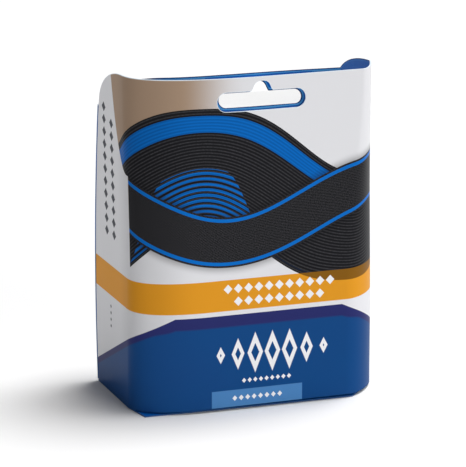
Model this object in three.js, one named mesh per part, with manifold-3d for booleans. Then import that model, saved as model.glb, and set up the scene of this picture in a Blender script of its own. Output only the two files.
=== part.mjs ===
// A hanging retail carton of folded paperboard. One board wraps the front and both sides, with soft
// front corners and wings that stand above the roof. The header has two layers with a hang slot.
// Millimetres: X to the right, Y from the front to the back, Z up. The origin is the middle of the
// outer box, on the surface that the carton stands on.

import * as THREE from 'three';
import Module from 'manifold-3d';
import { mergeVertices } from 'three/addons/utils/BufferGeometryUtils.js';

const wasm = await Module();
wasm.setup();

// Outer sizes
const WIDTH = 90.8;
const DEPTH = 51.4;
const HEIGHT = 119;

// Board and fit
const BOARD = 0.5;
const GAP = 0.3;

// Soft front corners. Each row of CORNERS holds shares: depth and width of the two sizes here, and the
// two pulls of that corner's own depth and width. A pull is how far the curve keeps to its panel.
const CORNER_DEPTH = 15;
const CORNER_WIDTH = 25.5;
const CORNERS = {
  leftFoot: { depth: 1, width: 1, sidePull: 0.89, frontPull: 0.35 },
  leftTop: { depth: 1.28, width: 1.93, sidePull: 0.94, frontPull: 0.32 },
  rightFoot: { depth: 0.9, width: 0.58, sidePull: 0.12, frontPull: 0.52 },
  rightTop: { depth: 0.9, width: 0.33, sidePull: 0.02, frontPull: 0.51 },
};
const CORNER_CHANGES_FROM = 40;

// The header stands above the roof by HEADER_HEIGHT
const HEADER_HEIGHT = 16.1;

// Back panel. It bows out most at BOW_HEIGHT, and is pulled in above and below it.
const BOW_HEIGHT = 39;
const BACK_PULL_TOP = 5;
const BACK_PULL_FOOT = 1.8;

// The right side leans in by RIGHT_LEAN between these heights
const RIGHT_LEAN = 0.7;
const LEAN_FROM = 20;
const LEAN_TO = 90;

// Wings: from its own start behind the front, the wrap's upper edge falls in an arc to the back edge.
// RIM_STEP is how much lower than the second header layer it is along the front.
const LEFT_WING_START = 13.7;
const RIGHT_WING_START = 5;
const WING_DROP = 14;
const WING_ROUNDNESS = 2.2;
const RIM_STEP = 0.3;

// Hang slot through the header
const SLOT_WIDTH = 32;
const SLOT_HEIGHT = 6.8;
const HUMP_WIDTH = 7.2;
const HUMP_RISE = 3.5;
const SLOT_BELOW_RIM = 1.75;
const SLOT_CENTRE_X = -0.8;

// Header tongue. Its ends lie in from the carton's left and right sides. It stands off the front panel
// by its own splay at each end, and by TONGUE_BOW more in the middle.
const TONGUE_IN_LEFT = 2.35;
const TONGUE_IN_RIGHT = 15.95;
const TONGUE_SPLAY_LEFT = 0.8;
const TONGUE_SPLAY_RIGHT = 2.9;
const TONGUE_BOW = 3;
const TONGUE_SLOT_INSET = 1;
const TONGUE_SLOT_SHIFT = 0.4;

// Flaps
const SEAM_WIDTH = 12;
const SEAM_END = 5;
const TUCK_HEIGHT = 12;
const TUCK_TAPER = 6;
const DUST_LENGTH = 28;
const DUST_TAPER = 5;
const DUST_CUT = 8;
const DUST_SETBACK = 5;

// Bottom. The wrap's lower edge rises by FRONT_LIFT through the corners to the front. The bottom
// panel's front edge runs between two tips, each measured from its side and from the front.
const FRONT_LIFT = 0.6;
const LEFT_TIP = { side: 2.4, front: 2.8 };
const RIGHT_TIP = { side: 11.5, front: 0.7 };

// How finely the curved boards are divided
const SIDE_STEPS = 9;
const CORNER_STEPS = 10;
const FLAT_STEPS = 4;
const HEIGHT_STEPS = 14;
const TONGUE_STEPS = 14;
const ARC_POINTS = 12;

// Places that follow from the sizes
const LEFT = -WIDTH / 2;
const RIGHT = WIDTH / 2;
const FRONT = -DEPTH / 2;
const BACK = DEPTH / 2;
const BACK_HEIGHT = HEIGHT - HEADER_HEIGHT;
const WALL_FOOT = BOARD + GAP;
const ROOF_FOOT = BACK_HEIGHT - BOARD;
const TONGUE_FOOT = BACK_HEIGHT + GAP;
const LINER = BOARD + GAP;
const SLOT_MIDDLE_Z = HEIGHT - SLOT_BELOW_RIM - HUMP_RISE - SLOT_HEIGHT / 2;

const mix = THREE.MathUtils.lerp;

// The outside of the back panel at height z
function backFace(z) {
  const above = z > BOW_HEIGHT;
  const reach = above ? BACK_HEIGHT - BOW_HEIGHT : BOW_HEIGHT;
  const pull = above ? BACK_PULL_TOP : BACK_PULL_FOOT;
  return BACK - pull * ((z - BOW_HEIGHT) / reach) ** 2;
}

// The outside of the right side panel at height z
function rightFace(z) {
  return RIGHT - RIGHT_LEAN * THREE.MathUtils.smoothstep(z, LEAN_FROM, LEAN_TO);
}

// One front corner at a blend between two rows of CORNERS, as its sizes in millimetres
function corner(low, high, blend) {
  const depth = CORNER_DEPTH * mix(low.depth, high.depth, blend);
  const width = CORNER_WIDTH * mix(low.width, high.width, blend);
  return {
    depth,
    width,
    sidePull: depth * mix(low.sidePull, high.sidePull, blend),
    frontPull: width * mix(low.frontPull, high.frontPull, blend),
  };
}

// The wrap's plan at height z: side, corner, front, corner, side, from the left back to the right back
function planCurves(z) {
  const blend = THREE.MathUtils.smoothstep(z, CORNER_CHANGES_FROM, HEIGHT);
  const left = corner(CORNERS.leftFoot, CORNERS.leftTop, blend);
  const right = corner(CORNERS.rightFoot, CORNERS.rightTop, blend);
  const edge = backFace(z) - LINER;
  const side = rightFace(z);
  const flatEnd = side - right.width;
  const flatStart = Math.min(LEFT + left.width, flatEnd - BOARD);
  const at = (x, y) => new THREE.Vector2(x, y);
  const leftFold = at(LEFT, FRONT + left.depth);
  const rightFold = at(side, FRONT + right.depth);
  return [
    new THREE.LineCurve(at(LEFT, edge), leftFold),
    new THREE.CubicBezierCurve(leftFold, at(LEFT, leftFold.y - left.sidePull),
      at(flatStart - left.frontPull, FRONT), at(flatStart, FRONT)),
    new THREE.LineCurve(at(flatStart, FRONT), at(flatEnd, FRONT)),
    new THREE.CubicBezierCurve(at(flatEnd, FRONT), at(flatEnd + right.frontPull, FRONT),
      at(side, rightFold.y - right.sidePull), rightFold),
    new THREE.LineCurve(rightFold, at(side, edge)),
  ];
}

// A point of the plan, moved inwards by inset. A station names one of the curves and a share of it.
function planPoint(curves, station, inset) {
  const curve = curves[station.curve];
  const tangent = curve.getTangent(station.share);
  return curve.getPoint(station.share).add(new THREE.Vector2(-tangent.y, tangent.x).multiplyScalar(inset));
}

// The stations of the whole wrap. Those of the sides crowd together towards the back edge.
function wrapStations() {
  const steps = [SIDE_STEPS, CORNER_STEPS, FLAT_STEPS, CORNER_STEPS, SIDE_STEPS];
  const stations = [];
  steps.forEach((count, curve) => {
    for (let i = 0; i < count; i += 1) {
      let share = i / count;
      if (curve === 0) share = 1 - Math.cos((share * Math.PI) / 2);
      if (curve === 4) share = Math.sin((share * Math.PI) / 2);
      stations.push({ curve, share });
    }
  });
  stations.push({ curve: 4, share: 1 });
  return stations;
}

// The upper edge of the wrap at a station
function wrapTop(station) {
  const curves = planCurves(BACK_HEIGHT);
  const start = FRONT + (station.curve < 2 ? LEFT_WING_START : RIGHT_WING_START);
  const share = (planPoint(curves, station, 0).y - start) / (curves[4].v2.y - start);
  const run = THREE.MathUtils.clamp(share, 0, 1);
  const rise = (1 - run ** WING_ROUNDNESS) ** (1 / WING_ROUNDNESS);
  return HEIGHT - RIM_STEP - WING_DROP * (1 - rise);
}

// The lower edge of the wrap at a station
function wrapFoot({ curve, share }) {
  return WALL_FOOT + FRONT_LIFT * [0, share, 1, 1 - share, 0][curve];
}

// A closed board from two matching grids of points, its outer face and its inner face. columns run
// left to right as seen from outside, and rows from the foot up.
function board(columns, rows, outer, inner) {
  const across = columns + 1;
  const layer = across * (rows + 1);
  const positions = [];
  for (const face of [outer, inner]) {
    for (let row = 0; row <= rows; row += 1) {
      for (let column = 0; column <= columns; column += 1) positions.push(...face(column, row));
    }
  }
  const index = [];
  const quad = (a, b, c, d) => index.push(a, b, c, a, c, d);
  for (let row = 0; row < rows; row += 1) {
    for (let column = 0; column < columns; column += 1) {
      const a = row * across + column;
      quad(a, a + 1, a + across + 1, a + across);
      quad(layer + a, layer + a + across, layer + a + across + 1, layer + a + 1);
    }
  }
  const top = rows * across;
  for (let column = 0; column < columns; column += 1) {
    quad(layer + column, layer + column + 1, column + 1, column);
    quad(top + column, top + column + 1, layer + top + column + 1, layer + top + column);
  }
  for (let row = 0; row < rows; row += 1) {
    const a = row * across;
    const b = a + columns;
    quad(a, a + across, layer + a + across, layer + a);
    quad(layer + b, layer + b + across, b + across, b);
  }
  const geometry = new THREE.BufferGeometry();
  geometry.setAttribute('position', new THREE.Float32BufferAttribute(positions, 3));
  geometry.setIndex(index);
  return geometry;
}

// A sheet of board with the given outline, in the XY plane
function sheet(points) {
  const outline = new THREE.Shape(points.map(([x, y]) => new THREE.Vector2(x, y)));
  return new THREE.ExtrudeGeometry(outline, { depth: BOARD, bevelEnabled: false });
}

// A flat plate with its underside at height z
function plate(points, z) {
  return sheet(points).translate(0, 0, z);
}

// A flat plate that stands upright, its outline in X and Z and its front face at y
function uprightPlate(points, y) {
  return sheet(points).rotateX(Math.PI / 2).translate(0, y + BOARD, 0);
}

function toSolid(geometry) {
  const bare = geometry.clone();
  bare.deleteAttribute('normal');
  bare.deleteAttribute('uv');
  const merged = mergeVertices(bare);
  return new wasm.Manifold(new wasm.Mesh({
    numProp: 3,
    vertProperties: Float32Array.from(merged.attributes.position.array),
    triVerts: Uint32Array.from(merged.index.array),
  }));
}

function toGeometry(solid) {
  const mesh = solid.getMesh();
  const geometry = new THREE.BufferGeometry();
  geometry.setAttribute('position', new THREE.BufferAttribute(mesh.vertProperties, 3));
  geometry.setIndex(new THREE.BufferAttribute(mesh.triVerts, 1));
  return geometry;
}

// The hang slot as a cutter through both header layers: round ends, and a hump for a single peg
function slotCutter(inset, shift) {
  const halfHeight = SLOT_HEIGHT / 2 - inset;
  const arm = SLOT_WIDTH / 2 - inset - halfHeight;
  const humpHalf = HUMP_WIDTH / 2 - inset;
  const outline = new THREE.Shape();
  outline.moveTo(-arm, -halfHeight);
  outline.lineTo(arm, -halfHeight);
  outline.absarc(arm, 0, halfHeight, -Math.PI / 2, Math.PI / 2, false);
  outline.lineTo(humpHalf, halfHeight);
  outline.absellipse(0, halfHeight, humpHalf, HUMP_RISE, 0, Math.PI, false);
  outline.lineTo(-arm, halfHeight);
  outline.absarc(-arm, 0, halfHeight, Math.PI / 2, (Math.PI * 3) / 2, false);
  const reach = CORNER_DEPTH / 2;
  const settings = { depth: reach + BOARD, bevelEnabled: false, curveSegments: ARC_POINTS };
  const geometry = new THREE.ExtrudeGeometry(outline, settings);
  geometry.rotateX(Math.PI / 2).translate(SLOT_CENTRE_X + shift, FRONT + reach, SLOT_MIDDLE_Z);
  return toSolid(geometry);
}

// Front panel, soft corners and side panels in one board, with the hang slot cut through the front
function frontWrap() {
  const stations = wrapStations();
  const face = (inset) => (column, row) => {
    const station = stations[column];
    const z = mix(wrapFoot(station), wrapTop(station), row / HEIGHT_STEPS);
    const point = planPoint(planCurves(z), station, inset);
    return [point.x, point.y, z];
  };
  const wrap = board(stations.length - 1, HEIGHT_STEPS, face(0), face(BOARD));
  return toGeometry(toSolid(wrap).subtract(slotCutter(0, 0)));
}

// Second header layer. It follows the front panel, and stands off it more towards the rim.
function headerTongue() {
  const [start, end] = [LEFT + TONGUE_IN_LEFT, RIGHT - TONGUE_IN_RIGHT];
  const front = (x, z, inset) => {
    const curves = planCurves(z);
    const stations = wrapStations().map((station) => planPoint(curves, station, inset));
    const next = stations.findIndex((point) => point.x > x && point.y < 0);
    const [a, b] = [stations[next - 1], stations[next]];
    return mix(a.y, b.y, (x - a.x) / (b.x - a.x));
  };
  const face = (depth) => (column, row) => {
    const across = column / TONGUE_STEPS;
    const up = row / HEIGHT_STEPS;
    const z = mix(TONGUE_FOOT, HEIGHT, up);
    const x = mix(start, end, across);
    const bow = TONGUE_BOW * Math.sin(Math.PI * across);
    const splay = mix(TONGUE_SPLAY_LEFT, TONGUE_SPLAY_RIGHT, across) + bow;
    return [x, front(x, z, LINER) + up * splay + depth, z];
  };
  const tongue = board(TONGUE_STEPS, HEIGHT_STEPS, face(0), face(BOARD));
  return toGeometry(toSolid(tongue).subtract(slotCutter(TONGUE_SLOT_INSET, TONGUE_SLOT_SHIFT)));
}

// A board that follows the back panel's bow, depth behind its outside. It ends at the left at from,
// and at the right at the height's own place.
function backBoard(from, to, foot, top, depth) {
  const face = (inset) => (column, row) => {
    const z = mix(foot, top, row / HEIGHT_STEPS);
    return [mix(to(z), from, column), backFace(z) - depth - inset, z];
  };
  return board(1, HEIGHT_STEPS, face(0), face(BOARD));
}

// Top panel between the wings
function roofPanel() {
  const curves = planCurves(ROOF_FOOT);
  const outline = wrapStations().map((station) => planPoint(curves, station, LINER).toArray());
  const back = backFace(BACK_HEIGHT);
  const [left, right] = [outline[0][0], outline.at(-1)[0]];
  return plate([[left, back], ...outline, [right, back]], ROOF_FOOT);
}

// Where the side panels end at their foot, and the front corners start
const footCurves = planCurves(WALL_FOOT);
const LEFT_FOLD = footCurves[0].v2.y;
const RIGHT_FOLD = footCurves[4].v1.y;

// Bottom panel. Its front edge and the edges that run back from its two tips to the side panels are
// straight, so that the left tip stands out under the soft corner.
function basePanel() {
  const half = WIDTH / 2 - GAP;
  const back = backFace(0);
  const outline = [
    [-half, back],
    [-half, LEFT_FOLD],
    [LEFT + LEFT_TIP.side, FRONT + LEFT_TIP.front],
    [RIGHT - RIGHT_TIP.side, FRONT + RIGHT_TIP.front],
    [half, RIGHT_FOLD],
    [half, back],
  ];
  return plate(outline, 0);
}

// The flap that turns up from the bottom panel, inside the back panel
function baseTuckFlap() {
  const half = WIDTH / 2 - LINER - GAP;
  const top = WALL_FOOT + TUCK_HEIGHT;
  const y = backFace(0) - 2 * LINER - GAP - BOARD;
  const end = half - TUCK_TAPER;
  return uprightPlate([[-half, WALL_FOOT], [half, WALL_FOOT], [end, top], [-end, top]], y);
}

// An inner bottom flap that lies on the bottom panel, folded in from one side
function baseDustFlap(side) {
  const back = backFace(0) - 3 * LINER - GAP - BOARD;
  const front = FRONT + DUST_SETBACK;
  const fold = side < 0 ? LEFT_FOLD : RIGHT_FOLD;
  const wall = WIDTH / 2 - LINER;
  const end = WIDTH / 2 - DUST_LENGTH;
  const outline = [
    [wall, back],
    [wall, fold],
    [wall - DUST_CUT, front],
    [end, front + DUST_TAPER],
    [end, back - DUST_TAPER],
    [end + DUST_TAPER, back],
  ];
  return plate(outline.map(([x, y]) => [side * x, y]), WALL_FOOT);
}

const print = { roughness: 0.45, metalness: 0 };
const materials = {
  printed: new THREE.MeshStandardMaterial({ color: 0xd5d6da, ...print }),
  plain: new THREE.MeshStandardMaterial({ color: 0xe9e9e8, roughness: 0.7, metalness: 0 }),
  inside: new THREE.MeshStandardMaterial({ color: 0x14559a, ...print }),
  base: new THREE.MeshStandardMaterial({ color: 0x1e4e80, ...print }),
};

const carton = new THREE.Group();

function addPiece(name, geometry, material) {
  const piece = new THREE.Mesh(geometry, material);
  piece.name = name;
  carton.add(piece);
}

const seamStart = LEFT + LINER;

addPiece('front_wrap', frontWrap(), materials.printed);
addPiece('back_panel', backBoard(LEFT, rightFace, WALL_FOOT, ROOF_FOOT - GAP, 0), materials.printed);
addPiece('seam_flap', backBoard(seamStart, () => seamStart + SEAM_WIDTH, WALL_FOOT + SEAM_END,
  ROOF_FOOT - SEAM_END, LINER), materials.plain);
addPiece('roof_panel', roofPanel(), materials.plain);
addPiece('header_tongue', headerTongue(), materials.inside);
addPiece('base_panel', basePanel(), materials.base);
addPiece('base_tuck_flap', baseTuckFlap(), materials.plain);
addPiece('base_dust_flap_left', baseDustFlap(-1), materials.plain);
addPiece('base_dust_flap_right', baseDustFlap(1), materials.plain);

export default carton;
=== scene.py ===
# A hanging retail carton of folded paperboard: a printed wrap with soft front corners and rounded
# wings, a two-layer header with a hang slot, and the back, roof and base panels that close it.
# The scene is in metres, in the frame's own axes: X to the right, Y from the front to the back, Z up.
# Patterns are laid out in millimetres on the board itself: "run" is the way round the board from the
# middle of the front, and "height" is the way up.

import math

import bpy
import numpy as np
from bpy.props import FloatProperty, FloatVectorProperty, PointerProperty
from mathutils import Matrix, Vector


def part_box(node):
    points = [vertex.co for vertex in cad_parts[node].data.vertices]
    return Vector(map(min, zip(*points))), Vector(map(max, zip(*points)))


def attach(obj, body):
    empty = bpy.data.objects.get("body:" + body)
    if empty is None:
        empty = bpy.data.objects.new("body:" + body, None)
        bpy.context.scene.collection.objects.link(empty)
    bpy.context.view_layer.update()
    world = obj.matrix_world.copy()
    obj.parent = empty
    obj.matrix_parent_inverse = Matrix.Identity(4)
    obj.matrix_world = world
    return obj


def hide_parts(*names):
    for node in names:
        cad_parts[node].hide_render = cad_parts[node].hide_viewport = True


bl_info = {
    "name": "Hanging Retail Carton",
    "version": (1, 0, 0),
    "blender": (4, 5, 0),
    "location": "3D View > Sidebar > Carton",
    "description": "Folded paperboard carton with soft corners, a two-layer header and a hang slot",
    "category": "Object",
}

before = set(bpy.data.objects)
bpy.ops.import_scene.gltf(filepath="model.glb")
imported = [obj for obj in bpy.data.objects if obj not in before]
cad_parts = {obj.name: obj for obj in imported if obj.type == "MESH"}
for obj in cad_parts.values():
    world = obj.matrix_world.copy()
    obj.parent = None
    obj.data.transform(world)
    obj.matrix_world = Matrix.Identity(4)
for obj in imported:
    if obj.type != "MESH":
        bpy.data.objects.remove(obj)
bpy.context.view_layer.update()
WRAP_LOW, WRAP_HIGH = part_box("front_wrap")
BACK_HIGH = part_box("back_panel")[1]
ROOF_LOW, ROOF_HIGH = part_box("roof_panel")
TONGUE_LOW, TONGUE_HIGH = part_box("header_tongue")

MM = 0.001
BODY = "root"
BOARD_MAP = "board"
CUT_ATTRIBUTE = "to_cut"

# The wrap's front corners. Each row holds shares: depth and width of the two corner sizes, and the
# two pulls of that corner's own depth and width. A pull is how far the curve keeps to its panel.
CORNERS = {
    "left_foot": {"depth": 1.0, "width": 1.0, "side_pull": 0.89, "front_pull": 0.35},
    "left_top": {"depth": 1.28, "width": 1.93, "side_pull": 0.94, "front_pull": 0.32},
    "right_foot": {"depth": 0.9, "width": 0.58, "side_pull": 0.12, "front_pull": 0.52},
    "right_top": {"depth": 0.9, "width": 0.33, "side_pull": 0.02, "front_pull": 0.51},
}

# Plan curves of the wrap, in order from the left back edge, and the columns that each one gets
CREASE, LEFT_SIDE, LEFT_CORNER, FLAT, RIGHT_CORNER, RIGHT_SIDE = range(6)
CURVE_COLUMNS = (5, 34, 110, 60, 26, 30)
QUARTER = 0.5523
WING_ROUNDNESS = 2.2

# Rows of the wrap, as shares of its height: the lower wall, the header's window and the rim
WALL_ROWS, WINDOW_ROWS = 46, 28
WINDOW_FOOT, WINDOW_TOP = 0.868, 0.9945
WINDOW_HALF_WIDTH = 19.5 * MM
SLOT_RINGS = 6
HUMP_STEEPNESS = 6
HUMP_SQUARENESS = 0.84
STEEP_SHARE = 0.4

# How finely the other boards are divided
TONGUE_COLUMNS, TONGUE_ROWS, TONGUE_ROW_RANGE = 120, 30, (0.01, 0.965)
BACK_COLUMNS, BACK_ROWS, CREASE_STEPS = 40, 60, 6
FRONT_POINTS = {LEFT_CORNER: 60, FLAT: 20, RIGHT_CORNER: 30}
BASE_COLUMNS, DEEP_ROWS = 90, 25
EDGE_ANGLE = 42

# The print's places are in millimetres on the board. A pair is where a shade starts and where it is
# full. Each ribbon's middle line is a wave of the run: middle + swing · sin(2π (run - start) / wave).
RIBBED = {"middle": 76, "swing": 13, "start": -50, "wave": 112, "half": 19.5, "rib": 1.05}
SMOOTH = {"middle": 70, "swing": -9, "start": -42, "wave": 118, "half": 9, "rib": 0.9}
TRIM = (8.2, 2.4)
HEM = (1.9, 0.7)
CROSSING_SHADE = {"out": 3.2, "in": 1, "share": 0.55}
FAN = {"left": (-50, -36), "right": (2, -14), "reach": 17, "rib": 1.9, "margin": 1.2}
PICTURE = {"left": -50, "right": 52, "bend": 84, "rise": 35, "sweep": 16}
WARM_ACROSS, WARM_UP = (-6, -30), (56, 100)
# Painted shade: darkens the print at the left front corner, where the light falls off round the curve
PAINTED_CORNER_SHADE = {"right": (-24, -40), "left": (-62, -50), "share": 0.14}
BASE_EDGE = {"middle": -1.5, "half": 30.8, "slope": 0.47, "narrows": 1.8, "over": 9}
ORNAMENT = {"row": 20.5, "pitch": 6.4, "start": -19.2, "end": 25.6, "left": (-24, -2), "right": (30, 8)}

# Inks that only shade another one
SOFT_BLACK = (0.01, 0.01, 0.012)
DEEP_BLUE = (0.0, 0.03, 0.12)
GROUND_CLOUD = (0.55, 0.55, 0.56)
BAND_SHADE = (0.035, 0.02, 0.006)
# BLACK is used only for the painted shade at the left front corner
BLACK = (0.0, 0.0, 0.0)

# Chains of lozenges: the line that a chain runs along, from its field's edge where it has one, the
# pitch, half of each lozenge along the chain and across it, and where the chain starts and ends
CHAINS = {
    name: dict(zip(("line", "pitch", "along", "across", "start", "end"), row))
    for name, row in {
        "side_near": (-66, 4.4, 1.8, 2.1, 57.2, 101.2),
        "side_far": (-74.2, 4.4, 1.8, 2.1, 57.2, 105.6),
        "side_small": (-71, 2.4, 0.8, 0.7, 24, 34),
        "band_upper": (-3.3, 3.8, 1.6, 1.7, -15.2, 26.6),
        "band_lower": (3.2, 3.8, 1.6, 1.7, -11.4, 22.8),
        "base_dots": (10.6, 2.1, 0.8, 0.9, -8.4, 10.5),
        "label_dots": (0, 2.4, 0.9, 1, -12, 7.2),
    }.items()
}

# Specular level of coated ink, and the lights' directions and spread in degrees
COATED_SPECULAR = 0.02
KEY_LIGHT = {"turn": 97, "rise": 71, "spread": 33}
FILL_LIGHT = {"turn": 20, "rise": 15, "spread": 30}
FLOOR_SIDE = 6.0

GAUSS_PLACES, GAUSS_WEIGHTS = np.polynomial.legendre.leggauss(10)


def paint(red, green, blue):
    """A screen colour of three numbers up to 255, as the linear colour that shaders take."""
    shares = np.array([red, green, blue]) / 255
    linear = np.where(shares <= 0.04045, shares / 12.92, ((shares + 0.055) / 1.055) ** 2.4)
    return tuple(float(value) for value in linear)


def length(name, default, description):
    return FloatProperty(
        name=name, description=description, default=default, unit="LENGTH", precision=5
    )


def mm(name, default, description):
    """A length property whose default is given in millimetres."""
    return length(name, default * MM, description)


def colour(name, screen, description):
    return FloatVectorProperty(
        name=name, description=description, default=paint(*screen), subtype="COLOR", size=3,
        min=0, max=1,
    )


def angle(name, degrees, description):
    return FloatProperty(
        name=name, description=description, default=math.radians(degrees), subtype="ANGLE"
    )


def strength(name, default, description):
    return FloatProperty(name=name, description=description, default=default, min=0, max=20)


class CartonSizes(bpy.types.PropertyGroup):
    """Sizes of the folded carton"""

    width: length("Width", WRAP_HIGH.x - WRAP_LOW.x, "Left side to right side")
    depth: length("Depth", BACK_HIGH.y - WRAP_LOW.y, "Front panel to back panel")
    height: length("Height", TONGUE_HIGH.z, "Floor to the header's rim")
    rim_step: mm("Rim step", 0.3, "How much lower the front's rim is")
    roof: length("Roof height", ROOF_HIGH.z, "Upper side of the roof panel")
    foot: length("Wall foot", WRAP_LOW.z, "Lower edge of the side panels")
    front_lift: mm("Front lift", 0.6, "How much higher the front's lower edge is")
    board: length("Board", ROOF_HIGH.z - ROOF_LOW.z, "Thickness of the board")
    gap: mm("Gap", 0.3, "Clearance between two boards")
    corner_depth: mm("Corner depth", 15, "Its reach along the side")
    corner_width: mm("Corner width", 25.5, "Its reach along the front")
    corner_changes_from: mm("Corner changes from", 40, "Where the corners start to change")
    bow_height: mm("Bow height", 39, "Where the back panel bows out most")
    back_pull_top: mm("Back pull, top", 5, "How far the back is pulled in there")
    back_pull_foot: mm("Back pull, foot", 1.8, "How far the back is pulled in there")
    right_lean: mm("Right lean", 0.7, "How far the right side leans in")
    lean_from: mm("Lean from", 20, "Where the right side starts to lean in")
    lean_to: mm("Lean to", 90, "Where the right side stops leaning in")
    left_wing: mm("Left wing", 13.7, "Where it starts to fall, behind the front")
    right_wing: mm("Right wing", 5, "Where it starts to fall, behind the front")
    wing_drop: mm("Wing drop", 14, "How far a wing's edge falls")
    crease: mm("Crease", 0.75, "Outer radius of a folded crease")
    slot_width: mm("Slot width", 32, "Width of the hang slot")
    slot_height: mm("Slot height", 6.8, "Height of the hang slot's arms")
    hump_half: mm("Hump half width", 3.3, "Half its width over the flared foot")
    hump_flare: mm("Hump flare", 0.5, "How far the hump's foot flares out")
    hump_rise: mm("Hump rise", 3.5, "Height of the hump over the slot's arms")
    slot_below_rim: mm("Slot below rim", 1.75, "Board left over the hump")
    slot_centre: mm("Slot centre", -0.8, "Middle of the hang slot")
    tongue_foot: length("Tongue foot", ROOF_HIGH.z + 0.05 * MM, "Lower edge of the second layer")
    tongue_width: length("Tongue width", TONGUE_HIGH.x - TONGUE_LOW.x, "Width of the second layer")
    splay_left: mm("Splay, left", 0.8, "The second layer's stand-off at its left")
    splay_right: mm("Splay, right", 2.9, "Its stand-off at its right")
    splay_bow: mm("Splay, middle", 3, "How much more it stands off in the middle")
    tongue_inset: mm("Tongue slot inset", 1, "How much smaller its slot is")
    tongue_shift: mm("Tongue slot shift", 0.4, "How far its slot lies to the right")
    tongue_corner: mm("Tongue corner", 9, "Reach of the fall of its rim at its left")
    tongue_drop: mm("Tongue drop", 1, "How far its rim falls at its left end")
    left_tip_side: mm("Left tip, side", 2.4, "From the left side to the base's left tip")
    left_tip_front: mm("Left tip, front", 2.8, "From the front to the base's left tip")
    right_tip_side: mm("Right tip, side", 11.5, "From the right side to the right tip")
    right_tip_front: mm("Right tip, front", 0.7, "From the front to the right tip")


class PrintSizes(bpy.types.PropertyGroup):
    """Places of the printed stripes, up the carton's wall"""

    band_foot: mm("Band foot", 36.4, "Lower edge of the orange band")
    band_top: mm("Band top", 47.5, "Upper edge of the orange band")
    base_front: mm("Base, front", 34.8, "Upper edge of the blue on the front")
    base_back: mm("Base, back", 9, "Upper edge of the blue on the back")
    strip: mm("Dark strip", 4.2, "Its width along the blue's edge")
    label_left: mm("Label left", -19.3, "Left end of the pale label bar")
    label_right: mm("Label right", 14.4, "Right end of the pale label bar")
    label_foot: mm("Label foot", 1.4, "Lower edge of the label bar")
    label_top: mm("Label top", 7.5, "Upper edge of the label bar")


class CartonInks(bpy.types.PropertyGroup):
    """Colours of the print, the inside and the bare board"""

    ground: colour("Ground", (226, 226, 229), "Pale ground of the print")
    warm: colour("Warm ground", (166, 141, 119), "Warm shade of the header's left part")
    charcoal: colour("Charcoal", (26, 26, 29), "Ribbed ribbon")
    thread: colour("Thread", (84, 84, 88), "Light ribs of the ribbon")
    velour: colour("Velour", (18, 18, 20), "Smooth crossing ribbon")
    blue: colour("Print blue", (14, 108, 196), "Stripes of the ribbons")
    band: colour("Orange", (224, 152, 40), "Band round the carton")
    base: colour("Base blue", (18, 74, 132), "Lower part of the carton")
    strip: colour("Navy", (44, 48, 104), "Dark strip along the base's edge")
    label: colour("Label", (78, 132, 188), "Pale label bar")
    light: colour("White", (240, 240, 242), "Fine ornaments")
    mark: colour("Mark", (70, 72, 80), "Fine ornaments of the side")
    inside: colour("Inside", (6, 102, 196), "Printed inside of the board")
    # Painted highlight: this pale band stands in for the gloss along a cut edge
    painted_sheen: colour("Sheen", (96, 178, 226), "Pale band of the inside, near a cut edge")
    edge: colour("Cut edge", (228, 240, 248), "Cut edge of the board")
    dark_edge: colour("Dark edge", (16, 42, 92), "Inked edge of the second layer")
    bare: colour("Bare board", (249, 249, 248), "Uncoated white side of the board")


class StudioSettings(bpy.types.PropertyGroup):
    """Camera and lights"""

    turn: angle("Camera turn", 19.9, "How far it stands to the front's left")
    rise: angle("Camera rise", 14.8, "How far it looks down")
    distance: mm("Camera distance", 1154.3, "From the point that it looks at")
    lens: FloatProperty(
        name="Lens", description="Focal length of the camera", default=255.7, unit="CAMERA"
    )
    key: strength("Key light", 3, "Soft light from the upper right")
    fill: strength("Fill light", 1.05, "Low light from the front")
    surround: strength("Surround", 0.18, "Brightness of the pale surround")


def smooth(value, start, end):
    """0 before start, 1 after end, and 3t² - 2t³ between them, t being the share of the way."""
    t = np.clip((value - start) / (end - start), 0, 1)
    return t * t * (3 - 2 * t)


def cubic(points, t):
    """A cubic Bezier curve: its four points weighted by (1-t)³, 3t(1-t)², 3t²(1-t) and t³."""
    s = 1 - t
    return points[0] * s**3 + points[1] * 3 * t * s**2 + points[2] * 3 * t**2 * s + points[3] * t**3


def cubic_slope(points, t):
    """The same curve's slope: the steps between its points weighted by 3(1-t)², 6t(1-t) and 3t²."""
    s = 1 - t
    steps = np.diff(points, axis=0)
    return steps[0] * 3 * s**2 + steps[1] * 6 * t * s + steps[2] * 3 * t**2


def arc_length(points, start, end):
    """Length of a cubic between two shares: the Gauss-Legendre sum of its speed."""
    half = (end - start) / 2
    total = 0
    for place, weight in zip(GAUSS_PLACES, GAUSS_WEIGHTS):
        total = total + weight * np.hypot(*cubic_slope(points, start + half * (place + 1)))
    return half * total


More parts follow.
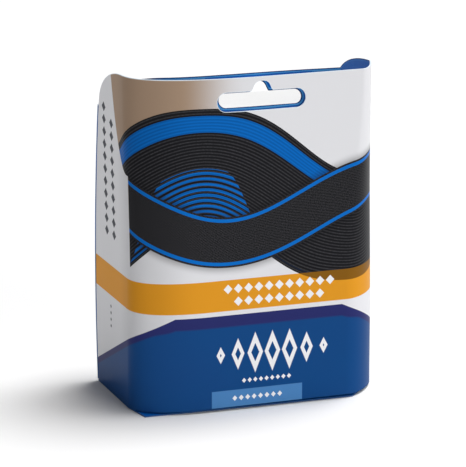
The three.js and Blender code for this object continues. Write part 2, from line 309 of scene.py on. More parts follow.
class CartonShape:
    """The carton's faces as functions of place along the board and height, all on whole arrays"""

    def __init__(self, sizes):
        self.sizes = sizes
        self.left = -sizes.width / 2
        self.front, self.back = -sizes.depth / 2, sizes.depth / 2
        self.liner = sizes.board + sizes.gap

    def back_face(self, z):
        """Y of the back: a parabola up and one down from the height where it bows out most."""
        bow, sizes = self.sizes.bow_height, self.sizes
        reach = np.where(z > bow, sizes.roof - bow, bow)
        pull = np.where(z > bow, sizes.back_pull_top, sizes.back_pull_foot)
        return self.back - pull * ((z - bow) / reach) ** 2

    def right_face(self, z):
        """X of the right side: upright, but for a smooth lean inwards."""
        sizes = self.sizes
        return sizes.width / 2 - sizes.right_lean * smooth(z, sizes.lean_from, sizes.lean_to)

    def corner(self, side, blend):
        """Depth, width and the two pulls of a corner, blended from its foot to its top."""
        low, high = CORNERS[side + "_foot"], CORNERS[side + "_top"]
        share = {key: low[key] + (high[key] - low[key]) * blend for key in low}
        depth = self.sizes.corner_depth * share["depth"]
        width = self.sizes.corner_width * share["width"]
        return depth, width, depth * share["side_pull"], width * share["front_pull"]

    def controls(self, curve, z):
        """The four points of one plan curve at heights z: its ends and, between them, each end moved
        by its handle. A straight curve's handles are a third of the way to the other end."""
        z = np.asarray(z, float)
        sizes, left, front = self.sizes, self.left, self.front
        blend = smooth(z, sizes.corner_changes_from, sizes.height)
        depth, width, side_pull, front_pull = self.corner("left", blend)
        far_depth, far_width, far_side_pull, far_front_pull = self.corner("right", blend)
        edge, right, crease = self.back_face(z) - self.liner, self.right_face(z), sizes.crease
        ends = [
            (left + crease, edge), (left, edge - crease), (left, front + depth),
            (left + width, front), (right - far_width, front), (right, front + far_depth),
            (right, edge),
        ]
        start, end = ends[curve], ends[curve + 1]
        third = [(b - a) / 3 for a, b in zip(start, end)]
        leave, arrive = {
            CREASE: ((-crease * QUARTER, 0), (0, crease * QUARTER)),
            LEFT_CORNER: ((0, -side_pull), (-front_pull, 0)),
            RIGHT_CORNER: ((far_front_pull, 0), (0, -far_side_pull)),
        }.get(curve, (third, [-step for step in third]))
        second, last = ([a + b for a, b in zip(*pair)] for pair in ((start, leave), (end, arrive)))
        points = (start, second, last, end)
        return np.array([[np.broadcast_to(value, z.shape) for value in point] for point in points])

    def along(self, curve, share, z):
        """X, Y and run of one plan curve: the cubic itself, and X on the flat front or else the
        arc lengths between the flat front and the point."""
        points = self.controls(curve, z)
        x, y = cubic(points, share)
        if curve == FLAT:
            return x, y, x
        left = curve < FLAT
        way = arc_length(points, share, 1) if left else arc_length(points, 0, share)
        for other in range(curve + 1, FLAT) if left else range(FLAT + 1, curve):
            way = way + arc_length(self.controls(other, z), 0, 1)
        flat = self.controls(FLAT, z)
        return x, y, flat[0][0] - way if left else flat[3][0] + way

    def front_at(self, x, z):
        """Y and run of the front at any X: the share of the left corner's curve whose X it is, found
        by Newton's rule, or the flat panel past the curve's end."""
        points = self.controls(LEFT_CORNER, z)
        share = np.full(np.shape(x), 0.8)
        for _ in range(16):
            share -= (cubic(points, share)[0] - x) / np.maximum(cubic_slope(points, share)[0], 1e-6)
            share = np.clip(share, 0.05, 1)
        y = cubic(points, share)[1]
        flat = x > points[3][0]
        run = points[3][0] - arc_length(points, share, 1)
        return np.where(flat, self.front, y), np.where(flat, x, run)

    def wing_top(self, curve, share):
        """The wrap's upper edge: level along the front, and from each wing's start a superellipse's
        arc down to the back edge: drop · (1 - (1 - run^n)^(1/n))."""
        sizes = self.sizes
        roof = np.full(np.shape(share), sizes.roof)
        y = np.select([curve == number for number in range(6)],
                      [cubic(self.controls(number, roof), share)[1] for number in range(6)])
        start = self.front + np.where(curve < FLAT, sizes.left_wing, sizes.right_wing)
        edge = self.back_face(roof) - self.liner - sizes.crease
        run = np.clip((y - start) / (edge - start), 0, 1)
        rise = (1 - run**WING_ROUNDNESS) ** (1 / WING_ROUNDNESS)
        return sizes.height - sizes.rim_step - sizes.wing_drop * (1 - rise)

    def wrap_foot(self, curve, share):
        """The wrap's lower edge: level along each side, and up through the corner to the front."""
        rise = np.where(curve == LEFT_CORNER, share, np.where(curve == RIGHT_CORNER, 1 - share, 0))
        return self.sizes.foot + self.sizes.front_lift * np.where(curve == FLAT, 1, rise)

    def slot_middle(self):
        sizes = self.sizes
        return sizes.height - sizes.slot_below_rim - sizes.hump_rise - sizes.slot_height / 2

    def slot_outline(self, inset, columns, up, shift=0):
        """The hang slot's edge, anticlockwise from its lower left: two half circles joined by lines,
        with a hump in the upper one, half a superellipse whose foot flares out: x = (half width +
        flare · (1 - sin t)^6) · cos(t)^n, z = rise · sin(t)^n. columns are the shares of the way
        along the foot and the top, from left to right, and each end gets `up` steps."""
        sizes = self.sizes
        radius = sizes.slot_height / 2 - inset
        arm = sizes.slot_width / 2 - inset - radius
        turn = np.linspace(-np.pi / 4, np.pi / 4, up + 1)
        bend = np.linspace(0, np.pi, 300)
        flare = sizes.hump_flare * (1 - np.sin(bend)) ** HUMP_STEEPNESS
        half = sizes.hump_half - inset / 2 + flare
        hump = [half * np.sign(np.cos(bend)) * np.abs(np.cos(bend)) ** HUMP_SQUARENESS,
                radius + sizes.hump_rise * np.sin(bend) ** HUMP_SQUARENESS]

        def arc(side, start, end):
            angle = np.radians(np.linspace(start, end, 60))
            return side * arm + radius * np.cos(angle), radius * np.sin(angle)

        def placed(edge, shares):
            way = np.append(0, np.cumsum(np.hypot(np.diff(edge[0]), STEEP_SHARE * np.diff(edge[1]))))
            return np.array([np.interp(shares * way[-1], way, axis) for axis in edge])[:, :-1]

        right = np.array([arm + radius * np.cos(turn), radius * np.sin(turn)])[:, :-1]
        foot = placed(np.hstack([arc(-1, 225, 270), arc(1, 270, 315)]), columns)
        top = placed(np.hstack([arc(1, 45, 90), hump, arc(-1, 90, 135)]), 1 - columns[::-1])
        x, z = np.hstack([foot, right, top, -right])
        return sizes.slot_centre + shift + x, self.slot_middle() + z


class Sheet:
    """A face of board: a grid of points with each one's run and height, and its quads"""

    def __init__(self, x, y, z, run, height=None):
        self.shape = np.shape(x)
        self.points = np.stack(np.broadcast_arrays(x, y, z), axis=-1).reshape(-1, 3)
        self.places = np.stack(np.broadcast_arrays(run, z if height is None else height), axis=-1)
        self.places = self.places.reshape(-1, 2)
        self.index = np.arange(len(self.points)).reshape(self.shape)
        self.inner = np.zeros(tuple(n - 1 for n in self.shape), bool)
        self.extra = np.empty((0, 4), int)
        self.cut = np.full(len(self.points), 1.0)

    def quads(self):
        index = self.index
        grid = np.stack([index[:-1, :-1], index[:-1, 1:], index[1:, 1:], index[1:, :-1]], axis=-1)
        return np.concatenate([grid[~self.inner], self.extra])

    def columns_over(self, row, first, last):
        """Shares of the way from one column to another, as the columns between them lie."""
        x = self.points[self.index[row, first:last + 1], 0]
        return (x - x[0]) / (x[-1] - x[0])

    def pierce(self, rows, columns, outline, face):
        """Opens a window of the grid and fills it with rings that turn its edge into the outline:
        ring k is (1 - k/n) · window + (k/n) · outline, laid back on the face."""
        (low, high), (first, last) = rows, columns
        index = self.index
        window = np.concatenate([
            index[low, first:last], index[low:high, last],
            index[high, last:first:-1], index[high:low:-1, first],
        ])
        self.inner[low:high, first:last] = True
        corner = self.points[window]
        loops = [window]
        for ring in range(1, SLOT_RINGS + 1):
            share = (ring / SLOT_RINGS) ** 0.8
            x = corner[:, 0] * (1 - share) + outline[0] * share
            z = corner[:, 2] * (1 - share) + outline[1] * share
            y, run = face(x, z)
            loops.append(len(self.points) + np.arange(len(window)))
            self.points = np.concatenate([self.points, np.stack([x, y, z], axis=-1)])
            self.places = np.concatenate([self.places, np.stack([run, z], axis=-1)])
            cut = np.hypot(x - outline[0], z - outline[1])
            self.cut = np.concatenate([self.cut, cut])
        strips = []
        for outer, inner in zip(loops, loops[1:]):
            strips.append(np.stack([outer, np.roll(outer, -1), np.roll(inner, -1), inner], axis=-1))
        self.extra = np.concatenate([self.extra, *strips])


def point_normals(points, quads):
    """Each point's normal: the sum of its faces' normals, a face's being half its diagonals' cross
    product, made one unit long."""
    a, b, c, d = (points[quads[:, k]] for k in range(4))
    faces = np.cross(c - a, d - b)
    normals = np.zeros_like(points)
    for k in range(4):
        np.add.at(normals, quads[:, k], faces)
    return normals / np.linalg.norm(normals, axis=1, keepdims=True)


def add_object(name, data):
    """A new object at the origin, in the scene."""
    thing = bpy.data.objects.new(name, data)
    bpy.context.scene.collection.objects.link(thing)
    return thing


def fold_board(name, sheet, node, finishes):
    """A closed board in place of a node: the sheet, the same sheet moved inwards along its normals,
    and a rim at each open edge. The three finishes are for the face, its reverse and the rim."""
    quads = sheet.quads()
    used, quads = np.unique(quads, return_inverse=True)
    quads = quads.reshape(-1, 4)
    points, places, cut = sheet.points[used], sheet.places[used], sheet.cut[used]
    count = len(points)
    reverse = points - point_normals(points, quads) * bpy.context.scene.carton_sizes.board
    start, end = quads.ravel(), np.roll(quads, -1, axis=1).ravel()
    open_edge = ~np.isin(start * count + end, end * count + start)
    a, b = start[open_edge], end[open_edge]
    rim = np.stack([b, a, a + count, b + count], axis=-1)
    faces = np.concatenate([quads, quads[:, ::-1] + count, rim])
    mesh = bpy.data.meshes.new(name)
    mesh.from_pydata(np.concatenate([points, reverse]), [], faces)
    for finish in finishes:
        mesh.materials.append(finish)
    slots = np.repeat([0, 1, 2], [len(quads), len(quads), len(rim)]).astype(np.int32)
    mesh.polygons.foreach_set("material_index", slots)
    mesh.polygons.foreach_set("use_smooth", np.ones(len(faces), bool))
    layer = mesh.uv_layers.new(name=BOARD_MAP)
    layer.uv.foreach_set("vector", places[faces.ravel() % count].astype(np.float32).ravel())
    attribute = mesh.attributes.new(CUT_ATTRIBUTE, "FLOAT", "POINT")
    attribute.data.foreach_set("value", np.concatenate([cut, cut]).astype(np.float32))
    mesh.set_sharp_from_angle(angle=math.radians(EDGE_ANGLE))
    mesh.update()
    piece = add_object(name, mesh)
    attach(piece, BODY)
    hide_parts(node)


def wrap_sheet(shape):
    """The wrap's outside: plan curve and share give the column, and the height of a row is its share
    of the way from the lower edge up to the wing's edge over that column."""
    sizes = shape.sizes
    curve = np.append(np.repeat(np.arange(6), CURVE_COLUMNS), RIGHT_SIDE)
    share = np.append(np.concatenate([np.arange(n) / n for n in CURVE_COLUMNS]), 1.0)
    share = np.where(curve == LEFT_SIDE, 1 - np.cos(share * np.pi / 2), share)
    share = np.where(curve == RIGHT_SIDE, np.sin(share * np.pi / 2), share)
    rows = np.concatenate([
        np.linspace(0, WINDOW_FOOT, WALL_ROWS, endpoint=False),
        np.linspace(WINDOW_FOOT, WINDOW_TOP, WINDOW_ROWS + 1),
        [1.0],
    ])
    top, foot = shape.wing_top(curve, share), shape.wrap_foot(curve, share)
    z = foot + (top - foot) * rows[:, None]
    x, y, run = (np.empty_like(z) for _ in range(3))
    for number in range(6):
        at = curve == number
        x[:, at], y[:, at], run[:, at] = shape.along(number, share[at], z[:, at])
    sheet = Sheet(x, y, z, run)
    sheet.cut = (top - z).ravel()
    rim = x[-1, :-CURVE_COLUMNS[RIGHT_SIDE]]
    first, last = np.searchsorted(rim, [sizes.slot_centre - WINDOW_HALF_WIDTH,
                                        sizes.slot_centre + WINDOW_HALF_WIDTH])
    columns = sheet.columns_over(WALL_ROWS, first, last)
    outline = shape.slot_outline(0, columns, WINDOW_ROWS)
    sheet.pierce((WALL_ROWS, WALL_ROWS + WINDOW_ROWS), (first, last), outline, shape.front_at)
    return sheet


def tongue_sheet(shape):
    """The second header layer's front: the front panel's curve moved back by the liner, and by a
    splay that grows with the height and is greatest in the middle: left + (right - left) · across +
    bow · sin(pi · across). Its rim falls in a parabola towards its left end."""
    sizes = shape.sizes
    start = TONGUE_LOW.x

    def face(x, z):
        y, run = shape.front_at(x, z)
        across = (x - start) / sizes.tongue_width
        up = (z - sizes.tongue_foot) / (sizes.height - sizes.tongue_foot)
        splay = sizes.splay_left + (sizes.splay_right - sizes.splay_left) * across
        splay = splay + sizes.splay_bow * np.sin(np.pi * across)
        return y + shape.liner + splay * up, run

    across = np.linspace(0, 1, TONGUE_COLUMNS + 1)
    up = np.append(np.linspace(*TONGUE_ROW_RANGE, TONGUE_ROWS), 1)
    up[0] = 0
    x = np.broadcast_to(start + sizes.tongue_width * across, (len(up), len(across)))
    near_end = 1 - np.clip((x[0] - start) / sizes.tongue_corner, 0, 1)
    top = sizes.height - sizes.tongue_drop * near_end**2
    z = sizes.tongue_foot + (top - sizes.tongue_foot) * up[:, None]
    y, run = face(x, z)
    sheet = Sheet(x, y, z, run)
    sheet.cut = (top - z).ravel()
    low, high = 2, TONGUE_ROWS - 1
    centre = sizes.slot_centre + sizes.tongue_shift
    first, last = np.searchsorted(x[0], [centre - WINDOW_HALF_WIDTH, centre + WINDOW_HALF_WIDTH])
    outline = shape.slot_outline(sizes.tongue_inset, sheet.columns_over(low, first, last),
                                 high - low, sizes.tongue_shift)
    sheet.pierce((low, high), (first, last), outline, face)
    return sheet


def math_rule(operation):
    """A method of Wire that adds one math node."""
    return lambda wire, *others: wire.math(operation, *others)


class Wire:
    """A number in a material's node tree. Sums, products and functions of wires add the nodes that
    work them out, so that a pattern can be written as a formula."""

    def __init__(self, tree, source):
        self.tree = tree
        self.source = source

    def math(self, operation, *others):
        node = self.tree.nodes.new("ShaderNodeMath")
        node.operation = operation
        for socket, value in zip(node.inputs, (self, *others)):
            feed(self.tree, value, socket)
        return Wire(self.tree, node.outputs[0])

    __add__ = __radd__ = math_rule("ADD")
    __mul__ = __rmul__ = math_rule("MULTIPLY")
    __sub__ = math_rule("SUBTRACT")
    __truediv__ = math_rule("DIVIDE")
    __pow__ = math_rule("POWER")
    sine = math_rule("SINE")
    cosine = math_rule("COSINE")
    size = math_rule("ABSOLUTE")
    root = math_rule("SQRT")
    part = math_rule("FRACT")
    most = math_rule("MAXIMUM")

    def __rsub__(self, other):
        return (self * -1) + other

    def ramp(self, start, end):
        """0 at start and 1 at end, smoothly, whichever of the two is the greater."""
        node = self.tree.nodes.new("ShaderNodeMapRange")
        node.interpolation_type = "SMOOTHSTEP"
        feed(self.tree, self, node.inputs["Value"])
        feed(self.tree, start, node.inputs["From Min"])
        feed(self.tree, end, node.inputs["From Max"])
        return Wire(self.tree, node.outputs[0])

    def over(self, edge, blur=0.06):
        """1 where the number is over the edge."""
        return (self - edge).ramp(-blur, blur)

    def under(self, edge, blur=0.06):
        """1 where the number is under the edge."""
        return (self - edge).ramp(blur, -blur)

    def within(self, low, high, blur=0.06):
        """1 between two edges."""
        return self.over(low, blur) * self.under(high, blur)


def feed(tree, value, socket):
    if isinstance(value, Wire):
        tree.links.new(value.source, socket)
    elif hasattr(value, "links"):
        tree.links.new(value, socket)
    else:
        socket.default_value = value


def layer(tree, share, under, over, mode="MIX"):
    """One colour over another, where share says. Colours are sockets or three numbers."""
    node = tree.nodes.new("ShaderNodeMix")
    node.data_type = "RGBA"
    node.blend_type = mode
    feed(tree, share, node.inputs[0])
    for socket, value in ((node.inputs[6], under), (node.inputs[7], over)):
        feed(tree, value if hasattr(value, "links") else (*value, 1), socket)
    return node.outputs[2]


def noise(tree, place, scale, detail=2.0, stretch=None):
    """A soft random wire, its scale in spots per metre."""
    if stretch is not None:
        mapping = tree.nodes.new("ShaderNodeMapping")
        mapping.inputs["Scale"].default_value = stretch
        tree.links.new(place, mapping.inputs["Vector"])
        place = mapping.outputs["Vector"]
    node = tree.nodes.new("ShaderNodeTexNoise")
    node.inputs["Scale"].default_value = scale
    node.inputs["Detail"].default_value = detail
    tree.links.new(place, node.inputs["Vector"])
    return Wire(tree, node.outputs[0])


def board_place(tree):
    """Run and height in millimetres as wires, and both in metres as a vector socket."""
    source = tree.nodes.new("ShaderNodeUVMap")
    source.uv_map = BOARD_MAP
    parts = tree.nodes.new("ShaderNodeSeparateXYZ")
    tree.links.new(source.outputs["UV"], parts.inputs[0])
    return Wire(tree, parts.outputs["X"]) / MM, Wire(tree, parts.outputs["Y"]) / MM, source.outputs[0]


def cut_distance(tree):
    """How far a point is from the nearest cut edge, in millimetres."""
    node = tree.nodes.new("ShaderNodeAttribute")
    node.attribute_name = CUT_ATTRIBUTE
    return Wire(tree, node.outputs["Fac"]) / MM


def start_finish(name):
    material = bpy.data.materials.new(name)
    material.use_nodes = True
    return material, material.node_tree, material.node_tree.nodes["Principled BSDF"]


def coat(tree, shader, place, colour_source, roughness, grain=0.35):
    """Joins a colour to the shader, with the fine uneven gloss and grain of coated board."""
    feed(tree, colour_source, shader.inputs["Base Color"])
    fibre = noise(tree, place, 2600, 3)
    cloud = noise(tree, place, 90, 2)
    feed(tree, roughness + (fibre - 0.5) * 0.12 + (cloud - 0.5) * 0.06, shader.inputs["Roughness"])
    bump = tree.nodes.new("ShaderNodeBump")
    bump.inputs["Strength"].default_value = grain
    bump.inputs["Distance"].default_value = 0.02 * MM
    feed(tree, fibre + cloud * 3, bump.inputs["Height"])
    tree.links.new(bump.outputs[0], shader.inputs["Normal"])


def ribbon_off(run, height, sizes):
    """How far a place is from a ribbon's middle line: the height over the line times the cosine of
    the line's slope."""
    turn = 2 * math.pi / sizes["wave"]
    phase = (run - sizes["start"]) * turn
    slope = phase.cosine() * (sizes["swing"] * turn)
    centre = phase.sine() * sizes["swing"] + sizes["middle"]
    return (height - centre) * (slope * slope + 1) ** -0.5


def ribbons(tree, run, height, place, ground, inks):
    """Two crossing ribbons over the ground: a broad ribbed one and a narrow smooth one."""
    off, half = ribbon_off(run, height, RIBBED), RIBBED["half"]
    body = off.size().under(half)
    rib = ((off / RIBBED["rib"]).part() * 2 - 1).size()
    stitch = noise(tree, place, 1500, 2)
    thread = rib ** 2.5 * (stitch * 1.4) * 0.75
    ribbed = layer(tree, thread, inks.charcoal, inks.thread)
    trim = off.within(half - TRIM[0], half - TRIM[1])
    fan = run.ramp(*FAN["left"]) * run.ramp(*FAN["right"]) * FAN["reach"]
    foot = FAN["margin"] - half
    fan_lines = (off / FAN["rib"]).part().within(0.2, 0.72, 0.04) * off.within(foot, fan + foot)
    blue_share = trim.most(fan_lines)
    blue_thread = layer(tree, rib * 0.45, inks.blue, DEEP_BLUE)
    ribbed = layer(tree, blue_share, ribbed, blue_thread)
    picture = layer(tree, body, ground, ribbed)
    off, half = ribbon_off(run, height, SMOOTH), SMOOTH["half"]
    shade = off.size().ramp(half + CROSSING_SHADE["out"], half - CROSSING_SHADE["in"])
    picture = layer(tree, shade * CROSSING_SHADE["share"], picture, SOFT_BLACK)
    nap = noise(tree, place, 2600, 4)
    weave = ((off + run * 0.6) / SMOOTH["rib"]).part().within(0.1, 0.6, 0.1) * 0.12
    smooth_ribbon = layer(tree, nap.ramp(0.3, 0.9) * 0.6 + weave, inks.velour, inks.thread)
    hem = off.size().within(half - HEM[0], half - HEM[1])
    smooth_ribbon = layer(tree, hem, smooth_ribbon, inks.blue)
    crossing = off.size().under(half)
    return layer(tree, crossing, picture, smooth_ribbon), body.most(crossing)


def lozenges(run, height, row, pitch, wide, tall):
    """A chain of lozenges along a level row: |x| / wide + |z| / tall under 1 in each pitch."""
    step = ((run / pitch).part() - 0.5).size() * pitch
    return (step / wide + (height - row).size() / tall).under(1, 0.05)


def chain(name, along, across, edge=0):
    """One row of CHAINS, its line measured from the edge."""
    sizes = CHAINS[name]
    line, shape = sizes["line"] + edge, (sizes["pitch"], sizes["along"], sizes["across"])
    return lozenges(along, across, line, *shape) * along.within(sizes["start"], sizes["end"])


def print_colour(tree, run, height, place, printing, inks):
    """The printed side: ground, ribbons, orange band, painted shade at the left corner, and the blue
    base with its dark strip and label.
    """
    sweep = ((height - PICTURE["bend"]) / PICTURE["rise"]).most(0).root() * PICTURE["sweep"]
    edge = PICTURE["left"] - sweep
    warm = run.over(edge) * run.ramp(*WARM_ACROSS) * height.ramp(*WARM_UP)
    tone = noise(tree, place, 60, 3)
    ground = layer(tree, (tone - 0.5) * 0.08, inks.ground, GROUND_CLOUD)
    ground = layer(tree, warm, ground, inks.warm)
    front = run.over(edge + 0.2) * run.under(PICTURE["right"])
    picture, mass = ribbons(tree, run, height, place, ground, inks)
    result = layer(tree, front, ground, picture)
    marks = chain("side_near", height, run) + chain("side_far", height, run)
    result = layer(tree, marks, result, inks.mark)
    result = layer(tree, chain("side_small", height, run), result, inks.mark)

    foot, top = printing.band_foot / MM, printing.band_top / MM
    band = height.within(foot, top)
    fade = layer(tree, mass * front * 0.72, inks.band, BAND_SHADE)
    upper, lower = chain("band_upper", run, height, top), chain("band_lower", run, height, foot)
    fade = layer(tree, upper.most(lower), fade, inks.light)
    result = layer(tree, band, result, fade)
    # Painted shade: darker print at the left front corner, standing in for the light's falloff there
    shade = run.ramp(*PAINTED_CORNER_SHADE["right"]) * run.ramp(*PAINTED_CORNER_SHADE["left"])
    result = layer(tree, shade * PAINTED_CORNER_SHADE["share"], result, BLACK)

    past = ((run - BASE_EDGE["middle"]).size() - BASE_EDGE["half"]).most(0)
    edge = (printing.base_front / MM - past * BASE_EDGE["slope"]).most(printing.base_back / MM)
    strip = printing.strip / MM - past.ramp(0, BASE_EDGE["over"]) * BASE_EDGE["narrows"]
    cloud = noise(tree, place, 25, 2)
    base = layer(tree, cloud * 0.25, inks.base, inks.strip)
    base = layer(tree, height.over(edge - strip, 0.5), base, inks.strip)
    row, pitch = ORNAMENT["row"], ORNAMENT["pitch"]
    middle = (run / pitch - (run / pitch).part() + 0.5) * pitch
    swell = middle.ramp(*ORNAMENT["left"]) * middle.ramp(*ORNAMENT["right"])
    ornament = lozenges(run, height, row, pitch, swell * 1.9 + 1, swell * 6.2 + 1.2)
    hollow = lozenges(run, height, row, pitch, swell * 1.7 - 0.2, swell * 3.9 - 0.5)
    framed = (ornament - hollow) * run.within(ORNAMENT["start"], ORNAMENT["end"])
    base = layer(tree, framed, base, inks.light)
    base = layer(tree, chain("base_dots", run, height), base, inks.light)
    label = (run.within(printing.label_left / MM, printing.label_right / MM)
             * height.within(printing.label_foot / MM, printing.label_top / MM))
    middle = (printing.label_foot + printing.label_top) / 2 / MM
    dots = chain("label_dots", run, height, middle)
    label_ink = layer(tree, dots, inks.label, inks.light)
    base = layer(tree, label, base, label_ink)
    return layer(tree, height.under(edge), result, base)


def printed_board(name):
    """Outside of the board: the print under a satin coat, with the fine pale line and the scuffs
    that the die leaves along a cut edge."""
    scene = bpy.context.scene
    inks = scene.carton_inks
    material, tree, shader = start_finish(name)
    run, height, place = board_place(tree)
    ink = print_colour(tree, run, height, place, scene.carton_print, inks)
    cut = cut_distance(tree)
    scuff = noise(tree, place, 1100, 3).ramp(0.5, 0.75) * cut.ramp(0.35, 0.02) * 0.7
    ink = layer(tree, scuff.most(cut.ramp(0.3, 0.1) * 0.75), ink, inks.edge)
    coat(tree, shader, place, ink, roughness=0.34)
    shader.inputs["Specular IOR Level"].default_value = COATED_SPECULAR
    return material


def blue_board(name, pale=0.1):
    """Inside of the board: solid blue, with a pale band of painted highlight that ends in a dark line
    at a cut edge.
    """
    inks = bpy.context.scene.carton_inks
    material, tree, shader = start_finish(name)
    run, height, place = board_place(tree)
    cloud = noise(tree, place, 70, 3)
    cut = cut_distance(tree)
    ink = layer(tree, cloud * 0.3, inks.inside, inks.dark_edge)
    # Painted highlight: a pale band along a cut edge, as strong as pale says
    ink = layer(tree, cut.within(0.35, 0.95, 0.2) * pale, ink, inks.painted_sheen)
    ink = layer(tree, cut.ramp(0.45, 0.2) * 0.85, ink, inks.dark_edge)
    coat(tree, shader, place, ink, roughness=0.26)
    shader.inputs["Specular IOR Level"].default_value = COATED_SPECULAR
    return material


def fibre_board(name, colour_value, roughness=0.7, object_place=False):
    """Bare or cut board: a pale colour with fine fibres and faint clouds."""
    material, tree, shader = start_finish(name)
    if object_place:
        place = tree.nodes.new("ShaderNodeTexCoord").outputs["Object"]
    else:
        place = board_place(tree)[2]
    fibre = noise(tree, place, 1800, 4, (1, 3, 1))
    shade = tuple(value * 0.9 for value in colour_value)
    ink = layer(tree, fibre.ramp(0.35, 0.75) * 0.6, colour_value, shade)
    coat(tree, shader, place, ink, roughness, grain=0.6)
    return material


def solid_board(name, colour_value):
    """Plain printed board, such as the base's underside: one ink with a faint cloud."""
    inks = bpy.context.scene.carton_inks
    material, tree, shader = start_finish(name)
    place = board_place(tree)[2]
    cloud = noise(tree, place, 40, 3)
    ink = layer(tree, cloud * 0.3, colour_value, inks.strip)
    coat(tree, shader, place, ink, roughness=0.38)
    return material


def carton(context):
    """The carton's shape and its inks."""
    return CartonShape(context.scene.carton_sizes), context.scene.carton_inks


class CARTON_OT_front_wrap(bpy.types.Operator):
    """Make the printed wrap: front, soft corners and side panels with their wings"""

    bl_idname = "carton.front_wrap"
    bl_label = "Front Wrap"

    def execute(self, context):
        shape, inks = carton(context)
        finishes = [printed_board("wrap_print"), blue_board("wrap_inside"),
                    fibre_board("wrap_cut_edge", inks.edge)]
        fold_board("printed_wrap", wrap_sheet(shape), "front_wrap", finishes)
        return {"FINISHED"}


class CARTON_OT_header_tongue(bpy.types.Operator):
    """Make the second header layer, blue towards the front, with its own smaller slot"""

    bl_idname = "carton.header_tongue"
    bl_label = "Header Tongue"

    def execute(self, context):
        shape, inks = carton(context)
        # The tongue's face gets a stronger painted highlight along its cut edges
        finishes = [blue_board("tongue_face", pale=0.6), fibre_board("tongue_back", inks.bare, 0.45),
                    fibre_board("tongue_cut_edge", inks.dark_edge)]
        fold_board("header_layer", tongue_sheet(shape), "header_tongue", finishes)
        return {"FINISHED"}


class CARTON_OT_back_and_roof(bpy.types.Operator):
    """Make the back panel with its folded edges, and the roof panel between the wings"""

    bl_idname = "carton.back_and_roof"
    bl_label = "Back And Roof"

    def back_sheet(self, shape):
        """The back from its raw left edge to the crease of its right one, and up into the roof's
        crease. Each crease is a quarter turn: across = radius · sin(turn), in = radius · (1 -
        cos(turn))."""
        sizes = shape.sizes
        radius = sizes.crease
        right = sizes.width / 2

        def bend(start, end, count):
            quarter = np.linspace(0, np.pi / 2, CREASE_STEPS + 1)[1:]
            flat = np.linspace(start, end - radius, count)
            turn = np.append(np.zeros(count), quarter)
            along = np.append(flat, np.full(CREASE_STEPS, end - radius))
            return along + radius * np.sin(turn), turn, along + radius * turn

        x, side_turn, way = bend(shape.left, right, BACK_COLUMNS)
        z, roof_turn, _ = bend(sizes.foot, sizes.roof, BACK_ROWS)
        x, z = np.meshgrid(x[::-1], z)
        x = x - (right - shape.right_face(z)) * (x - shape.left) / sizes.width
        sunk = 2 - np.cos(side_turn[::-1])[None, :] - np.cos(roof_turn)[:, None]
        y = shape.back_face(np.minimum(z, sizes.roof)) - radius * sunk
        right_end = shape.along(RIGHT_SIDE, np.ones(1), np.full(1, sizes.foot))[2][0]
        return Sheet(x, y, z, np.broadcast_to(right_end + right - way[::-1], x.shape))

    def roof_sheet(self, shape):
        """The roof: each column runs level from the front curve, inset by the liner, to the back."""
        sizes = shape.sizes
        front, side = plan_front(shape, sizes.roof, shape.liner)
        back = float(shape.back_face(np.array(sizes.roof))) - sizes.crease - 0.05 * MM
        share = np.linspace(0, 1, DEEP_ROWS)[:, None]
        y = front[None, :] * (1 - share) + back * share
        x = np.broadcast_to(side[None, :], y.shape)
        return Sheet(x, y, np.full(y.shape, sizes.roof), x, y)

    def execute(self, context):
        shape, inks = carton(context)
        edge = fibre_board("back_cut_edge", inks.edge)
        fold_board("back_board", self.back_sheet(shape), "back_panel",
                   [printed_board("back_print"), blue_board("back_inside"), edge])
        fold_board("roof_board", self.roof_sheet(shape), "roof_panel",
                   [fibre_board("roof_face", inks.bare, 0.45), blue_board("roof_inside"), edge])
        return {"FINISHED"}


def plan_front(shape, z, inset):
    """Y and X of the plan's front and corners at one height, moved inwards along its normals by
    inset."""
    parts = []
    for curve, count in FRONT_POINTS.items():
        share = np.linspace(0, 1, count)
        points = shape.controls(curve, np.full(count, z))
        slope = cubic_slope(points, share)
        slope = slope / np.hypot(*slope)
        parts.append(cubic(points, share) + inset * np.array([-slope[1], slope[0]]))
    x, y = np.hstack([parts[0][:, :-1], parts[1][:, :-1], parts[2]])
    return y, x


class CARTON_OT_base(bpy.types.Operator):
    """Make the bottom panel with the small tips under the front corners"""

    bl_idname = "carton.base"
    bl_label = "Base"

    def base_sheet(self, shape):
        """The underside: each column runs level from the front edge to the back. The front edge is
        straight between the two tips, and straight from each tip back to its side panel."""
        sizes = shape.sizes
        half = sizes.width / 2 - sizes.gap
        foot = np.array(sizes.foot)
        places = [
            (-half, shape.controls(LEFT_SIDE, foot)[3][1]),
            (shape.left + sizes.left_tip_side, shape.front + sizes.left_tip_front),
            (sizes.width / 2 - sizes.right_tip_side, shape.front + sizes.right_tip_front),
            (half, shape.controls(RIGHT_SIDE, foot)[0][1]),
        ]
        edge_x, edge_y = np.array(places, float).T
        side = np.unique(np.concatenate([np.linspace(-half, half, BASE_COLUMNS), edge_x]))
        front = np.interp(side, edge_x, edge_y)
        share = np.linspace(1, 0, DEEP_ROWS)[:, None]
        y = front[None, :] * (1 - share) + float(shape.back_face(np.array(0.0))) * share
        x = np.broadcast_to(side[None, :], y.shape)
        return Sheet(x, y, np.zeros(y.shape), x, y)

    def execute(self, context):
        shape, inks = carton(context)
        finishes = [solid_board("base_print", inks.base), blue_board("base_inside"),
                    fibre_board("base_cut_edge", inks.base)]
        fold_board("base_board", self.base_sheet(shape), "base_panel", finishes)
        return {"FINISHED"}


class CARTON_OT_inner_flaps(bpy.types.Operator):
    """Give the hidden flaps the finish of the board's white side"""

    bl_idname = "carton.inner_flaps"
    bl_label = "Inner Flaps"

    def execute(self, context):
        finish = fibre_board("flap_board", context.scene.carton_inks.bare, 0.55, object_place=True)
        for node in ("seam_flap", "base_tuck_flap", "base_dust_flap_left", "base_dust_flap_right"):
            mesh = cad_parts[node].data
            mesh.materials.clear()
            mesh.materials.append(finish)
        return {"FINISHED"}


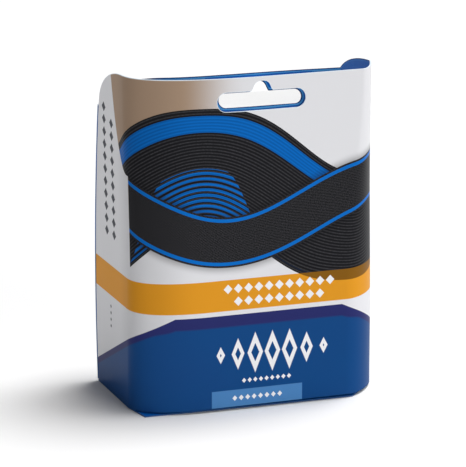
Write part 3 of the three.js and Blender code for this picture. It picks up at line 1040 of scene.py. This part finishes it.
def direction(turn, rise):
    """The unit vector that points turn round from the front towards the right, and rise up."""
    level = math.cos(rise)
    return Vector((math.sin(turn) * level, -math.cos(turn) * level, math.sin(rise)))


class CARTON_OT_studio(bpy.types.Operator):
    """Make the pale floor, the soft lights and the camera"""

    bl_idname = "carton.studio"
    bl_label = "Studio"

    target = Vector((-8.526 * MM, -17.539 * MM, 61.80 * MM))

    def floor(self):
        mesh = bpy.data.meshes.new("floor")
        corner = FLOOR_SIDE / 2
        mesh.from_pydata([(-corner, -corner, 0), (corner, -corner, 0), (corner, corner, 0),
                          (-corner, corner, 0)], [], [(0, 1, 2, 3)])
        material, tree, shader = start_finish("floor_paper")
        place = tree.nodes.new("ShaderNodeTexCoord").outputs["Object"]
        tone = noise(tree, place, 4, 2)
        ink = layer(tree, tone * 0.3, (0.93, 0.93, 0.93), (0.9, 0.9, 0.9))
        feed(tree, ink, shader.inputs["Base Color"])
        shader.inputs["Roughness"].default_value = 0.85
        shader.inputs["Specular IOR Level"].default_value = 0.2
        mesh.materials.append(material)
        add_object("floor", mesh)

    def far_light(self, name, strength, turn, rise, spread):
        """A distant light: turn is its direction round from the front towards the right, rise its
        angle over the floor and spread the angle that it fills, all in degrees."""
        light = bpy.data.lights.new(name, "SUN")
        light.angle = math.radians(spread)
        light.energy = strength
        towards = direction(math.radians(turn), math.radians(rise))
        lamp = add_object(name, light)
        lamp.rotation_euler = towards.to_track_quat("Z", "Y").to_euler()
        lamp.location = self.target + towards

    def camera(self, studio):
        back = direction(-studio.turn, studio.rise)
        data = bpy.data.cameras.new("camera")
        data.sensor_width = 36
        data.lens = studio.lens
        data.clip_start, data.clip_end = 0.05, 20
        camera = add_object("camera", data)
        camera.location = self.target + back * studio.distance
        camera.rotation_euler = back.to_track_quat("Z", "Y").to_euler()
        bpy.context.scene.camera = camera

    def execute(self, context):
        studio = context.scene.carton_studio
        self.floor()
        self.far_light("key_light", studio.key, **KEY_LIGHT)
        self.far_light("fill_light", studio.fill, **FILL_LIGHT)
        world = bpy.data.worlds.new("surround")
        world.use_nodes = True
        background = world.node_tree.nodes["Background"]
        background.inputs["Color"].default_value = (0.97, 0.98, 1, 1)
        background.inputs["Strength"].default_value = studio.surround
        context.scene.world = world
        context.scene.view_settings.view_transform = "Standard"
        self.camera(studio)
        return {"FINISHED"}


OPERATORS = (
    CARTON_OT_studio,
    CARTON_OT_front_wrap,
    CARTON_OT_header_tongue,
    CARTON_OT_back_and_roof,
    CARTON_OT_base,
    CARTON_OT_inner_flaps,
)
GROUPS = {
    "carton_sizes": CartonSizes,
    "carton_print": PrintSizes,
    "carton_inks": CartonInks,
    "carton_studio": StudioSettings,
}


class CARTON_PT_sidebar(bpy.types.Panel):
    """Sizes, colours and steps of the carton"""

    bl_idname = "CARTON_PT_sidebar"
    bl_label = "Carton"
    bl_space_type = "VIEW_3D"
    bl_region_type = "UI"
    bl_category = "Carton"

    def draw(self, context):
        for operator in OPERATORS:
            self.layout.operator(operator.bl_idname)
        for name, group in GROUPS.items():
            box = self.layout.box()
            for field in group.__annotations__:
                box.prop(getattr(context.scene, name), field)


def register():
    for group in (*GROUPS.values(), *OPERATORS, CARTON_PT_sidebar):
        bpy.utils.register_class(group)
    for name, group in GROUPS.items():
        setattr(bpy.types.Scene, name, PointerProperty(type=group))


def unregister():
    for name in GROUPS:
        delattr(bpy.types.Scene, name)
    for group in reversed((*GROUPS.values(), *OPERATORS, CARTON_PT_sidebar)):
        bpy.utils.unregister_class(group)


def main():
    register()
    bpy.ops.carton.studio()
    bpy.ops.carton.front_wrap()
    bpy.ops.carton.header_tongue()
    bpy.ops.carton.back_and_roof()
    bpy.ops.carton.base()
    bpy.ops.carton.inner_flaps()


if __name__ == "__main__":
    main()
